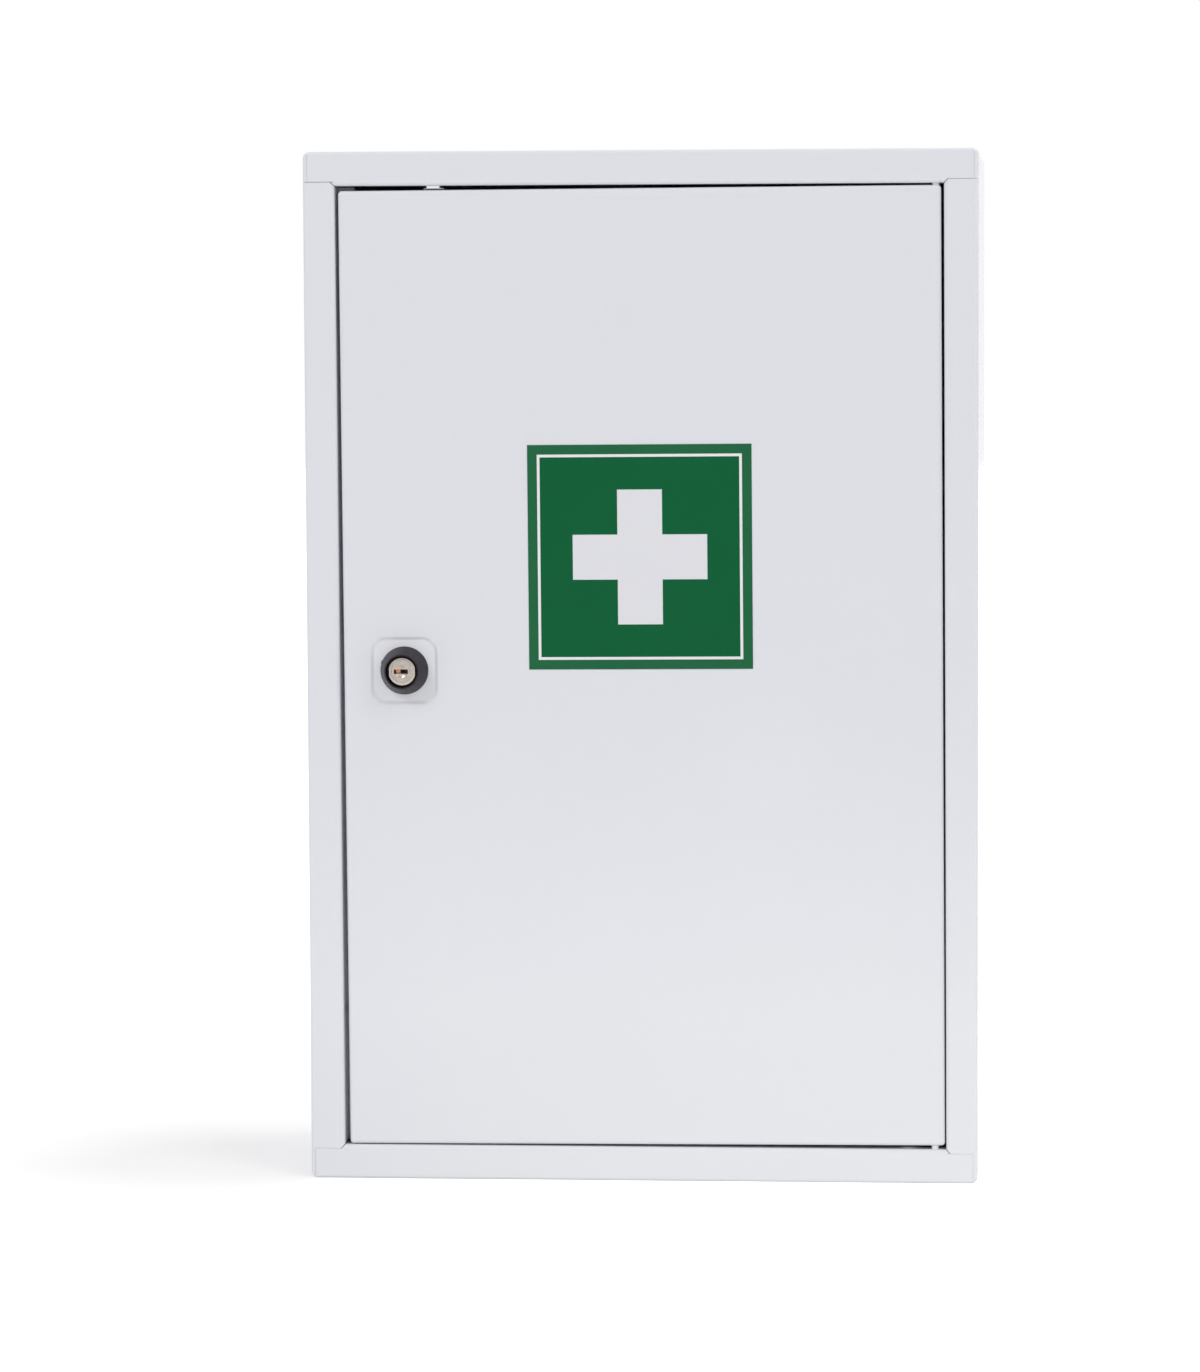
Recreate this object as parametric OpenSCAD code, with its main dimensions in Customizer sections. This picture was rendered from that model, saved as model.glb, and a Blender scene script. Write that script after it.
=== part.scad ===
// Lockable wall cabinet for medicines. A body folded from sheet steel has an inset
// door that turns on two pivot pins and is held shut by a cam lock.
// +Z is up, the door faces -Y, and the origin is the middle of the bottom face.

/* [Body] */
// Width of the cabinet over its side walls
cabinet_w = 300; // [260:1:400]
// Height of the cabinet over its top and bottom walls
cabinet_h = 460; // [430:1:600]
// Depth of the cabinet without its lock
cabinet_d = 140; // [120:1:220]
// Thickness of the body's sheet steel
sheet_t = 0.8; // [0.6:0.1:1]
// Radius of the body's four corners, seen from the front
corner_r = 3; // [2.8:0.1:8]
// Outer radius of the fold between a wall and the front face
wall_fold_r = 1.4; // [1.2:0.1:1.4]

/* [Front frame] */
// Width of the frame's upright members, up to the door opening
stile_w = 14.7; // [12:0.1:30]
// Width of the frame's level members, up to the door opening
rail_w = 15.2; // [12:0.1:30]
// Outer radius of the fold round the door opening
jamb_fold_r = 1.9; // [1.5:0.1:2]
// Depth of the jambs behind the uprights
jamb_d = 16; // [15:0.1:24]
// Depth of the folded edge behind the level members
rail_return_d = 8; // [7:0.1:13]
// Width of the stop that the latch side's jamb turns in behind the door
stop_w = 7; // [6:0.1:9]
// Width of the seams where the frame's members meet
seam_w = 0.3; // [0.2:0.05:0.5]
// Depth of the seams, which paint fills in part
seam_depth = 0.3; // [0.1:0.05:0.5]
// Distance from the side walls' outer faces to the ends of the level members
rail_end = 1.8; // [1.5:0.1:3]
// Lean of the door opening's upright edges, in degrees
opening_lean = 0.18; // [0:0.01:0.25]

/* [Back and shelves] */
// Depth of the back panel's flanges along the walls
back_flange_d = 10; // [6:1:16]
// Diameter of the holes for the wall screws
wall_hole_d = 6.5; // [4:0.1:9]
// Distance between the wall holes, side to side
wall_hole_span_x = 230; // [180:1:240]
// Distance between the wall holes, up and down
wall_hole_span_z = 380; // [250:1:400]
// Height of the lower shelf's top above the cabinet's bottom face
lower_shelf_z = 153; // [130:1:180]
// Height of the upper shelf's top above the cabinet's bottom face
upper_shelf_z = 306; // [270:1:340]
// Depth of the shelves, front to back
shelf_d = 96; // [70:1:98]
// Thickness of the shelves' sheet
shelf_t = 0.8; // [0.6:0.1:1]
// Height of the lip at a shelf's front edge
shelf_lip_h = 12; // [6:1:20]
// Width of each leg of the shelf supports
support_leg = 12; // [8:1:20]
// Length of the shelf supports, front to back
support_l = 70; // [40:1:80]
// Thickness of the shelf supports
support_t = 1; // [0.8:0.1:2]

/* [Door] */
// Mean gap beside the door on its latch side
gap_latch = 1.87; // [1.6:0.01:2.5]
// Mean gap beside the door on its hinge side
gap_hinge = 0.92; // [0.9:0.01:2]
// Mean gap above the door
gap_top = 1.53; // [1.5:0.01:2.5]
// Mean gap below the door
gap_bottom = 1; // [1:0.01:2.5]
// How far the free side of the door hangs low, in degrees
door_sag = 0.28; // [0:0.01:0.28]
// How far the door's face lies behind the front frame's face
door_recess = 1; // [0.5:0.1:1.2]
// Depth of the door pan
door_d = 13; // [12:0.1:13.2]
// Thickness of the door's sheet steel
door_t = 0.8; // [0.6:0.1:1]
// Outer radius of the door's folds and corners
door_fold_r = 1.6; // [1.4:0.1:2]
// Width of the flange that the door's edges turn in at the rear
door_flange_w = 8; // [4:0.5:12]

/* [Door pivots] */
// Diameter of the pivot pins
pin_d = 2.8; // [2:0.1:3]
// Diameter of the pins' shoulders, which show in the gaps
pin_shoulder_d = 3.2; // [3.2:0.1:4]
// Thickness of the pins' heads
pin_head_t = 1.2; // [0.8:0.1:2]
// How far each pin reaches past the door's sheet
pin_reach = 6; // [3:0.5:10]
// Distance from the door's hinge edge to the pivot axis
pivot_inset_x = 3.4; // [3.3:0.1:4]
// Distance from the door's face to the pivot axis
pivot_inset_y = 2.5; // [2.4:0.05:2.6]
// Running clearance round a pin in the door, at the radius
pivot_clearance = 0.05; // [0.02:0.01:0.1]

/* [Door trays] */
// Distance from the door's upright edges to the trays' ends
tray_inset = 15.9; // [12:0.1:60]
// How far the trays reach from the door's inner face
tray_d = 34; // [24:1:35]
// Height of the trays' walls at the door
tray_back_h = 45; // [32:1:50]
// Height of the trays' walls at the front and ends
tray_front_h = 30; // [15:1:32]
// Thickness of the trays' sheet
tray_t = 0.8; // [0.6:0.1:1]
// Height of the lower tray's underside above the cabinet's bottom face
lower_tray_z = 60; // [30:1:120]
// Height of the upper tray's underside above the cabinet's bottom face
upper_tray_z = 270; // [268:1:330]

/* [Sign] */
// Side of the square sign
sign_side = 100; // [60:1:120]
// Height of the sign's centre above the cabinet's bottom face
sign_z = 280; // [260:1:330]
// Thickness of the sign's film
sign_t = 0.15; // [0.1:0.05:0.4]
// Margin outside the sign's white line
sign_margin = 4.3; // [2:0.1:8]
// Width of the sign's white line
sign_line_w = 1.2; // [0.5:0.1:3]
// Length of the cross, tip to tip
cross_l = 60; // [30:1:70]
// Width of the cross's arms
cross_w = 20; // [10:1:25]

/* [Lock] */
// Distance from the door's latch edge to the lock's axis
lock_inset = 27.2; // [26:0.1:30]
// Side of the pressed recess round the lock, at the door's face
recess_side = 32; // [30:0.5:36]
// Side of the recess's flat floor
recess_floor = 27; // [26:0.5:28]
// Depth of the recess
recess_depth = 1.5; // [1:0.1:2.5]
// Corner radius of the recess at the door's face
recess_corner_r = 5; // [4:0.5:7]
// Corner radius of the recess's floor
recess_floor_r = 4; // [2:0.5:7]
// Diameter of the rosette where it sits on the recess's floor
rosette_d = 21.5; // [20:0.1:24]
// Diameter over the rosette's front rim
rosette_rim_d = 15.4; // [15.1:0.1:17]
// Diameter of the rosette's front opening
rosette_open_d = 14.2; // [13.6:0.1:14.3]
// Height of the rosette
rosette_h = 11.5; // [9:0.1:14]
// Height of the straight edge round the rosette's foot
rosette_foot_h = 1.4; // [0.6:0.1:3]
// Bevel at the front of the rosette's rim
rosette_bevel = 0.4; // [0.2:0.1:0.4]
// Diameter of the barrel's head
barrel_head_d = 12.8; // [12.4:0.1:13]
// Length of the barrel's head
barrel_head_l = 3.2; // [2.4:0.1:4]
// Distance between the flats on the barrel's head
barrel_head_flats = 12.2; // [12:0.1:12.6]
// Bevel round the barrel's face
barrel_bevel = 0.4; // [0.2:0.1:0.5]
// How far the barrel's face lies behind the rosette's rim
barrel_sink = 1.8; // [1:0.1:2.5]
// Diameter of the barrel's body
barrel_d = 11.2; // [11:0.1:11.8]
// Distance between the flats on the barrel's body
barrel_flats = 10; // [9.6:0.1:10.4]
// Width of the lock nut across its flats
nut_across = 16; // [15:0.5:18]
// Thickness of the lock nut
nut_t = 3; // [2:0.1:4]
// Diameter of the washer under the lock nut
lock_washer_d = 17; // [15:0.5:20]
// Thickness of the washer under the lock nut
lock_washer_t = 0.8; // [0.5:0.1:1.5]
// Diameter of the plug's face
plug_face_d = 9.6; // [9.2:0.1:10]
// Thickness of the plug's face
plug_face_t = 2; // [1.5:0.1:2.4]
// Diameter of the plug behind its face
plug_d = 8; // [7.8:0.1:8.6]
// How far the plug's face lies behind the barrel's face
plug_sink = 0.3; // [0:0.1:0.5]
// Running clearance round the plug, at the radius
plug_clearance = 0.05; // [0.02:0.01:0.1]
// Width of the keyway
keyway_w = 6.3; // [5:0.1:6.6]
// How far the keyway lies off the plug's axis, towards the door's latch edge
keyway_shift = 0.5; // [0:0.1:0.5]
// Height of the keyway
keyway_h = 2; // [1.6:0.1:2.4]
// Depth of the keyway
keyway_depth = 18; // [14:0.5:19]
// Diameter of the dished key guide
guide_d = 5.7; // [3:0.1:6]
// Depth of the dished key guide
guide_depth = 0.4; // [0.2:0.1:0.6]

/* [Tumblers] */
// Number of tumblers
tumbler_count = 4; // [2:1:5]
// Distance from one tumbler to the next
tumbler_pitch = 2.8; // [2.2:0.1:2.8]
// Depth of the first tumbler behind the plug's face
tumbler_first = 3.2; // [2.6:0.1:4]
// Thickness of a tumbler
tumbler_t = 0.6; // [0.4:0.1:0.8]
// Length of a tumbler across the plug
tumbler_l = 7; // [6.8:0.1:7.1]
// Height of a tumbler
tumbler_h = 3.2; // [2.8:0.1:3.2]
// Width of a tumbler's window for the key
tumbler_window_w = 3.4; // [2.5:0.1:4]
// Width of the strip beside a tumbler's window
tumbler_strip_w = 0.5; // [0.3:0.1:0.8]
// Clearance round a tumbler in its slot
tumbler_clearance = 0.05; // [0.02:0.01:0.08]
// Diameter of a tumbler's spring
spring_d = 0.9; // [0.6:0.1:1]
// Length of a tumbler's spring
spring_l = 3; // [2:0.1:3.4]

/* [Cam] */
// Reach of the cam from the lock's axis to its tip
cam_reach = 26.8; // [24:0.1:28]
// Width of the cam's arm
cam_w = 13; // [10:0.5:16]
// Corner radius at the cam's tip
cam_corner_r = 2; // [1:0.5:4]
// Diameter of the cam round its hole
cam_hub_d = 15; // [12:0.5:17]
// Thickness of the cam
cam_t = 2; // [1.5:0.1:2.5]
// Gap between the locked cam and the stop that it catches
cam_gap = 0.6; // [0.4:0.1:0.8]
// Side of the square tail that carries the cam
tail_side = 5.6; // [4.5:0.1:5.6]
// Diameter of the cam screw's head
screw_head_d = 8.4; // [7:0.1:10]
// Thickness of the cam screw's head
screw_head_t = 2.2; // [1.6:0.1:3]
// Diameter of the cam screw's shank
screw_d = 3; // [2:0.1:3]
// Length of the cam screw's shank in the tail and the plug
screw_l = 5; // [3:0.1:5]
// Width of the slots in the cam screw's head
screw_slot_w = 0.9; // [0.5:0.1:1.2]
// Diameter of the washer under the cam screw
cam_washer_d = 10.4; // [8:0.1:12]
// Thickness of the washer under the cam screw
cam_washer_t = 0.8; // [0.5:0.1:1.2]

/* [Buffers] */
// Diameter of the two door buffers on the stop
buffer_d = 6; // [4:0.1:6.4]
// Gap between the shut door and its buffers
buffer_gap = 0.1; // [0.05:0.05:0.2]
// Distance from each end of the opening to a door buffer
buffer_from_end = 60; // [30:1:120]
// Distance from the opening's latch side to the buffer under the top rail
rail_buffer_inset = 43.4; // [20:0.1:80]
// Distance from the front frame's face to the rail buffer's block
rail_buffer_front = 1.4; // [1:0.1:2]
// Distance from the front frame's face to the rail buffer's foot
rail_buffer_foot_front = 3.8; // [2.5:0.1:5]
// Width of the rail buffer's block
rail_buffer_w = 5.6; // [4:0.1:8]
// Height of the rail buffer's block
rail_buffer_h = 1.1; // [0.6:0.1:1.1]
// Width of the rail buffer's foot
rail_buffer_foot_w = 8.9; // [8:0.1:12]
// Height of the rail buffer's foot
rail_buffer_foot_h = 0.35; // [0.2:0.05:0.4]

/* [Fits] */
// Clearance between parts that are fixed to each other
fit = 0.05; // [0.02:0.01:0.1]
// Gap between a shelf and the walls beside it
shelf_side_gap = 0.7; // [0.3:0.1:2]

/* [Hidden] */
$fn = 64;
fold_fn = 48;
hull_fn = 32;
cut = 1;        // how far a cutting shape runs past what it cuts
slice = 0.01;   // thickness of the outlines that the recess is stretched between

front_y = -cabinet_d / 2;
back_y = cabinet_d / 2;
middle_z = cabinet_h / 2;
inner_w = cabinet_w - 2 * sheet_t;
inner_h = cabinet_h - 2 * sheet_t;

open_w = cabinet_w - 2 * stile_w;
open_h = cabinet_h - 2 * rail_w;
open_top = cabinet_h - rail_w;
lean_shift = open_h / 2 * tan(opening_lean);

door_w = open_w - gap_latch - gap_hinge;
door_h = open_h - gap_top - gap_bottom;
door_x = (gap_latch - gap_hinge) / 2;
door_z = middle_z + (gap_bottom - gap_top) / 2;
door_y = front_y + door_recess;
door_inner_y = door_y + door_t;
door_rear_y = door_y + door_d;

pivot_x = door_x + door_w / 2 - pivot_inset_x;
pivot_y = door_y + pivot_inset_y;
sag_at_pivot = (pivot_x - door_x) * tan(door_sag);
leaf_top_z = door_z + door_h / 2 + sag_at_pivot;
leaf_bottom_z = door_z - door_h / 2 + sag_at_pivot;

stop_front_y = front_y + jamb_d - sheet_t;
stop_rear_y = front_y + jamb_d;
pin_head_d = 2 * (pivot_y - front_y - jamb_fold_r);

lock_x = -door_w / 2 + lock_inset;
recess_y = door_y + recess_depth;
rim_y = recess_y - rosette_h;
barrel_y = rim_y + barrel_sink;
head_rear_y = barrel_y + barrel_head_l;
plug_y = barrel_y + plug_sink;
cam_y = stop_rear_y + cam_gap;
barrel_rear_y = cam_y - 4 * fit;
plug_rear_y = barrel_rear_y + 2 * fit;
tail_rear_y = cam_y + cam_t - fit;
cam_screw_y = cam_y + cam_t + cam_washer_t;
nut_y = recess_y + door_t + fit + lock_washer_t + fit;

tray_l = door_w - 2 * tray_inset;
shelf_w = inner_w - 2 * (fit + sheet_t + shelf_side_gap);
shelf_rear_y = back_y - sheet_t - shelf_side_gap;
shelf_front_y = shelf_rear_y - shelf_d;
support_y = (shelf_front_y + shelf_rear_y) / 2;

body_white = [0.87, 0.88, 0.91];
door_white = [0.89, 0.89, 0.91];
sign_green = [0.10, 0.39, 0.23];
film_white = [0.93, 0.94, 0.94];
rosette_black = [0.19, 0.18, 0.20];
nickel = [0.70, 0.67, 0.63];
copper = [0.72, 0.42, 0.26];
zinc = [0.74, 0.75, 0.77];
rubber_grey = [0.55, 0.56, 0.58];

// ---- shapes that several parts share ----

// An outline in X and Z, made solid from y0 to y1
module along_y(y0, y1) {
    translate([0, y1, 0]) rotate([90, 0, 0]) linear_extrude(y1 - y0) children();
}

// A rectangle with round corners, centred
module rounded(w, h, r) {
    square([w - 2 * r, h], center = true);
    square([w, h - 2 * r], center = true);
    for (x = [-1, 1], z = [-1, 1]) {
        translate([x * (w / 2 - r), z * (h / 2 - r)]) circle(r = r);
    }
}

// A box given by its lowest and highest corners
module block(low, high) {
    translate(low) cube(high - low);
}

// A round bar along Y from y0 to y1
module bar_y(y0, y1, d) {
    translate([0, y1, 0]) rotate([90, 0, 0]) cylinder(d = d, h = y1 - y0);
}

// The rounded edge of a block's front face, with the flat inside it; both reach into the block
module soft_face(w, h, y, corner, edge) {
    along_y(y, y + 2 * edge) square([w - 2 * edge, h - 2 * corner], center = true);
    along_y(y, y + 2 * edge) square([w - 2 * corner, h - 2 * edge], center = true);
    for (side = [-1, 1]) {
        translate([side * (w / 2 - edge), y + edge, 0])
            cylinder(r = edge, h = h - 2 * corner, center = true, $fn = fold_fn);
        translate([0, y + edge, side * (h / 2 - edge)]) rotate([0, 90, 0])
            cylinder(r = edge, h = w - 2 * corner, center = true, $fn = fold_fn);
    }
    for (x = [-1, 1], z = [-1, 1]) {
        translate([x * (w / 2 - corner), y + edge, z * (h / 2 - corner)]) soft_corner(corner, edge);
    }
}

// A corner of the rounded edge: a ball, or a disc with a round rim where the corner is wider
module soft_corner(corner, edge) {
    if (corner > edge) {
        rotate([90, 0, 0]) rotate_extrude($fn = fold_fn) {
            translate([corner - edge, 0]) circle(r = edge, $fn = fold_fn);
            translate([0, -edge]) square([corner - edge, 2 * edge]);
        }
    } else {
        sphere(r = edge, $fn = fold_fn);
    }
}

// A block from y0 to y1 whose front edges are rounded
module soft_block(w, h, y0, y1, corner, edge) {
    soft_face(w, h, y0, corner, edge);
    along_y(y0 + edge, y1) rounded(w, h, corner);
}

// A round bar with two flats, along Y from y0 to y1
module double_d(y0, y1, d, flats) {
    intersection() {
        bar_y(y0, y1, d);
        block([-flats / 2, y0, -d / 2], [flats / 2, y1, d / 2]);
    }
}

// Moves what is drawn about the door's centre to where the door hangs
module on_door() {
    translate([door_x, 0, door_z]) rotate([0, -door_sag, 0]) children();
}

// Moves what is drawn about the Y axis to the lock's axis
module on_lock() {
    on_door() translate([lock_x, 0, 0]) children();
}

// ---- the body ----

// One side of the door opening: the front face's edge, the fold and the jamb behind it.
// The opening lies towards +X and the member runs along Z.
module jamb(length, depth) {
    mitre = length / 2 - seam_w / sqrt(2);
    reach = length + 4 * jamb_fold_r;
    difference() {
        union() {
            block([-jamb_fold_r - cut, front_y, -reach / 2], [-jamb_fold_r, front_y + sheet_t, reach / 2]);
            translate([-jamb_fold_r, front_y + jamb_fold_r, -reach / 2]) rotate([0, 0, -90])
                rotate_extrude(angle = 90, $fn = fold_fn)
                    translate([jamb_fold_r - sheet_t, 0]) square([sheet_t, reach]);
            block([-sheet_t, front_y + jamb_fold_r, -reach / 2], [0, front_y + depth, reach / 2]);
        }
        for (end = [0, 1]) {
            mirror([0, 0, end]) translate([0, 0, mitre]) rotate([0, 45, 0])
                translate([-cabinet_d, -cabinet_d, 0]) cube(2 * cabinet_d);
        }
    }
}

// The opening that the front face is cut to before its edges are folded
module opening_blank() {
    half_w = open_w / 2 + jamb_fold_r;
    half_h = open_h / 2 + jamb_fold_r;
    shift = half_h * tan(opening_lean);
    polygon([
        [-half_w + shift, -half_h], [half_w + shift, -half_h],
        [half_w - shift, half_h], [-half_w - shift, half_h]
    ]);
}

// The stop along the latch side's jamb, in the jamb's own place
module stop() {
    half_l = open_h / 2 - seam_w;
    block([-sheet_t, stop_front_y, -half_l], [stop_w, stop_rear_y, half_l]);
}

// The seam round the end of a level member, in the top right quarter of the front
module seam() {
    x = cabinet_w / 2 - rail_end;
    z = open_h / 2 + jamb_fold_r;
    block([open_w / 2 + jamb_fold_r / 2, front_y - cut, z - seam_w], [x, front_y + seam_depth, z]);
    block([x - seam_w, front_y - cut, z - seam_w], [x, front_y + seam_depth, cabinet_h / 2 - wall_fold_r]);
}

module cabinet_body() {
    color(body_white) difference() {
        union() {
            difference() {
                translate([0, 0, middle_z])
                    soft_block(cabinet_w, cabinet_h, front_y, back_y, corner_r, wall_fold_r);
                translate([0, 0, middle_z])
                    soft_block(inner_w, inner_h, front_y + sheet_t, back_y + cut,
                               corner_r - sheet_t, wall_fold_r - sheet_t);
                translate([0, 0, middle_z]) along_y(front_y - cut, front_y + 2 * cut) opening_blank();
            }
            translate([-open_w / 2, 0, middle_z]) rotate([0, -opening_lean, 0]) {
                jamb(open_h, jamb_d);
                stop();
            }
            translate([open_w / 2, 0, middle_z]) rotate([0, 180 - opening_lean, 0]) jamb(open_h, jamb_d);
            translate([-lean_shift, 0, open_top]) rotate([0, 90, 0]) jamb(open_w, rail_return_d);
            translate([lean_shift, 0, rail_w]) rotate([0, -90, 0]) jamb(open_w, rail_return_d);
        }
        for (side = [0, 1], level = [0, 1]) {
            translate([0, 0, middle_z]) mirror([side, 0, 0]) mirror([0, 0, level]) seam();
        }
        for (z = [rail_w - sheet_t - cut, open_top - cut]) {
            translate([pivot_x, pivot_y, z]) cylinder(d = pin_d + 2 * fit, h = sheet_t + 2 * cut);
        }
    }
}

module back_panel() {
    w = inner_w - 2 * fit;
    h = inner_h - 2 * fit;
    r = corner_r - sheet_t - fit;
    color(body_white) translate([0, 0, middle_z]) difference() {
        along_y(back_y - back_flange_d, back_y) rounded(w, h, r);
        along_y(back_y - back_flange_d - cut, back_y - sheet_t)
            square([w - 2 * sheet_t, h - 2 * sheet_t], center = true);
        for (x = [-1, 1], z = [-1, 1]) {
            translate([x * wall_hole_span_x / 2, 0, z * wall_hole_span_z / 2])
                bar_y(back_y - back_flange_d, back_y + cut, wall_hole_d);
        }
    }
}

// A shelf with a folded lip; z is its top
module shelf(z) {
    color(body_white) translate([0, 0, z]) {
        block([-shelf_w / 2, shelf_front_y + 2 * shelf_t, -shelf_t], [shelf_w / 2, shelf_rear_y, 0]);
        translate([shelf_w / 2, shelf_front_y + 2 * shelf_t, shelf_t])
            rotate([0, -90, 0]) rotate([0, 0, 180]) rotate_extrude(angle = 90, $fn = fold_fn)
                translate([shelf_t, 0]) square([shelf_t, shelf_w]);
        block([-shelf_w / 2, shelf_front_y, shelf_t], [shelf_w / 2, shelf_front_y + shelf_t, shelf_lip_h]);
    }
}

module upper_shelf() shelf(upper_shelf_z);
module lower_shelf() shelf(lower_shelf_z);

// An angle under one end of a shelf; side is -1 on the left and 1 on the right
module support(side, shelf_z) {
    top = shelf_z - shelf_t - fit;
    wall = inner_w / 2 - fit;
    color(body_white) mirror([side < 0 ? 1 : 0, 0, 0]) translate([0, support_y - support_l / 2, 0]) {
        block([wall - support_leg, 0, top - support_t], [wall, support_l, top]);
        block([wall - support_t, 0, top - support_leg], [wall, support_l, top]);
    }
}

module upper_left_support() support(-1, upper_shelf_z);
module upper_right_support() support(1, upper_shelf_z);
module lower_left_support() support(-1, lower_shelf_z);
module lower_right_support() support(1, lower_shelf_z);

// ---- the door's pivots and buffers ----

// A pivot pin that points down from the top rail; gap is the free height to the door
module pivot_pin(gap) {
    color(body_white) {
        translate([0, 0, sheet_t + fit]) cylinder(d = pin_head_d, h = pin_head_t);
        translate([0, 0, -gap - door_t - pin_reach])
            cylinder(d = pin_d, h = gap + door_t + pin_reach + sheet_t + 2 * fit);
        translate([0, 0, -gap + 2 * fit]) cylinder(d = pin_shoulder_d, h = gap - 3 * fit);
    }
}

module upper_pivot_pin() {
    translate([pivot_x, pivot_y, open_top]) pivot_pin(open_top - leaf_top_z);
}

module lower_pivot_pin() {
    translate([pivot_x, pivot_y, rail_w]) mirror([0, 0, 1]) pivot_pin(leaf_bottom_z - rail_w);
}

// A buffer on the stop; z is measured from the opening's middle
module door_buffer(z) {
    color(rubber_grey) translate([-open_w / 2, 0, middle_z]) rotate([0, -opening_lean, 0])
        translate([stop_w / 2, 0, z]) bar_y(door_rear_y + buffer_gap, stop_front_y - fit, buffer_d);
}

module upper_door_buffer() door_buffer(open_h / 2 - buffer_from_end);
module lower_door_buffer() door_buffer(buffer_from_end - open_h / 2);

module rail_buffer() {
    half_w = rail_buffer_w / 2;
    half_foot_w = rail_buffer_foot_w / 2;
    rear = front_y + rail_return_d;
    color(film_white) translate([rail_buffer_inset - open_w / 2, 0, open_top - fit]) {
        block([-half_w, front_y + rail_buffer_front, -rail_buffer_h], [half_w, rear, 0]);
        block([-half_foot_w, front_y + rail_buffer_foot_front, -rail_buffer_h - rail_buffer_foot_h],
              [half_foot_w, rear, -rail_buffer_h]);
    }
}

// ---- the door ----

// The lock's recess as a solid, drawn in by a wall of thickness t
module recess_shape(y0, y1, t) {
    hull() {
        along_y(y0, y0 + slice)
            rounded(recess_side + 2 * t, recess_side + 2 * t, recess_corner_r + t, $fn = hull_fn);
        along_y(y1 - slice, y1)
            rounded(recess_floor + 2 * t, recess_floor + 2 * t, recess_floor_r + t, $fn = hull_fn);
    }
}

module door_pan() {
    difference() {
        union() {
            difference() {
                soft_block(door_w, door_h, door_y, door_rear_y, door_fold_r, door_fold_r);
                soft_block(door_w - 2 * door_t, door_h - 2 * door_t, door_inner_y, door_rear_y - door_t,
                           door_fold_r - door_t, door_fold_r - door_t);
                along_y(door_rear_y - 2 * door_t, door_rear_y + cut)
                    square([door_w - 2 * door_flange_w, door_h - 2 * door_flange_w], center = true);
            }
            translate([lock_x, 0, 0]) recess_shape(door_inner_y - door_t / 2, recess_y + door_t, door_t);
        }
        translate([lock_x, 0, 0]) {
            recess_shape(door_y - slice, recess_y, 0);
            double_d(door_y, recess_y + 2 * cut, barrel_d + 4 * fit, barrel_flats + 4 * fit);
        }
    }
}

module door_leaf() {
    color(door_white) difference() {
        on_door() door_pan();
        translate([pivot_x, pivot_y, 0]) cylinder(d = pin_d + 2 * pivot_clearance, h = cabinet_h);
    }
}

// A tray on the inside of the door; z is its underside
module tray(z) {
    front = door_inner_y + fit;
    color(door_white) on_door() translate([0, front, z - door_z]) difference() {
        union() {
            block([-tray_l / 2, 0, 0], [tray_l / 2, tray_d, tray_front_h]);
            block([-tray_l / 2, 0, 0], [tray_l / 2, tray_t, tray_back_h]);
        }
        block([-tray_l / 2 + tray_t, tray_t, tray_t],
              [tray_l / 2 - tray_t, tray_d - tray_t, tray_back_h + cut]);
    }
}

module upper_door_tray() tray(upper_tray_z);
module lower_door_tray() tray(lower_tray_z);

// ---- the sign ----

module cross_outline(grow) {
    square([cross_l + 2 * grow, cross_w + 2 * grow], center = true);
    square([cross_w + 2 * grow, cross_l + 2 * grow], center = true);
}

module line_outline(grow) {
    outer = sign_side - 2 * sign_margin + 2 * grow;
    inner = sign_side - 2 * sign_margin - 2 * sign_line_w - 2 * grow;
    difference() {
        square(outer, center = true);
        square(inner, center = true);
    }
}

// Moves what is drawn about the sign's centre onto the door's face
module on_sign() {
    on_door() translate([-door_x, 0, sign_z - door_z]) children();
}

module sign_field() {
    color(sign_green) on_sign() along_y(door_y - fit - sign_t, door_y - fit) difference() {
        square(sign_side, center = true);
        cross_outline(fit);
        line_outline(fit);
    }
}

module sign_marks() {
    color(film_white) on_sign() along_y(door_y - fit - sign_t, door_y - fit) {
        cross_outline(0);
        line_outline(0);
    }
}

// ---- the lock ----

module lock_rosette() {
    bore_r = barrel_d / 2 + 2 * fit;
    foot_r = rosette_d / 2;
    rim_r = rosette_rim_d / 2;
    open_r = rosette_open_d / 2;
    top = rosette_h - fit;
    seat = rosette_h - barrel_sink - barrel_head_l - fit;
    color(rosette_black) on_lock() translate([0, recess_y - fit, 0]) rotate([90, 0, 0])
        rotate_extrude() polygon([
            [bore_r, 0], [foot_r, 0], [foot_r, rosette_foot_h], [rim_r, top - rosette_bevel],
            [rim_r - rosette_bevel, top], [open_r, top], [open_r, seat], [bore_r, seat]
        ]);
}

module lock_barrel() {
    color(nickel) on_lock() difference() {
        union() {
            double_d(barrel_y + barrel_bevel, head_rear_y, barrel_head_d, barrel_head_flats);
            double_d(barrel_y, barrel_y + barrel_bevel,
                     barrel_head_d - 2 * barrel_bevel, barrel_head_flats - barrel_bevel);
            double_d(head_rear_y, barrel_rear_y, barrel_d, barrel_flats);
        }
        bar_y(barrel_y - cut, plug_y + plug_face_t + plug_clearance, plug_face_d + 2 * plug_clearance);
        bar_y(barrel_y, barrel_rear_y + cut, plug_d + 2 * plug_clearance);
    }
}

module lock_washer() {
    y = recess_y + door_t + fit;
    color(zinc) on_lock() difference() {
        bar_y(y, y + lock_washer_t, lock_washer_d);
        bar_y(y - cut, y + lock_washer_t + cut, barrel_d + 2 * fit);
    }
}

module lock_nut() {
    color(zinc) on_lock() difference() {
        translate([0, nut_y + nut_t, 0]) rotate([90, 0, 0])
            cylinder(d = nut_across / cos(30), h = nut_t, $fn = 6);
        bar_y(nut_y - cut, nut_y + nut_t + cut, barrel_d + 2 * fit);
    }
}

// Where tumbler number i starts, front to back
function tumbler_y(i) = plug_y + tumbler_first + i * tumbler_pitch;

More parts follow.
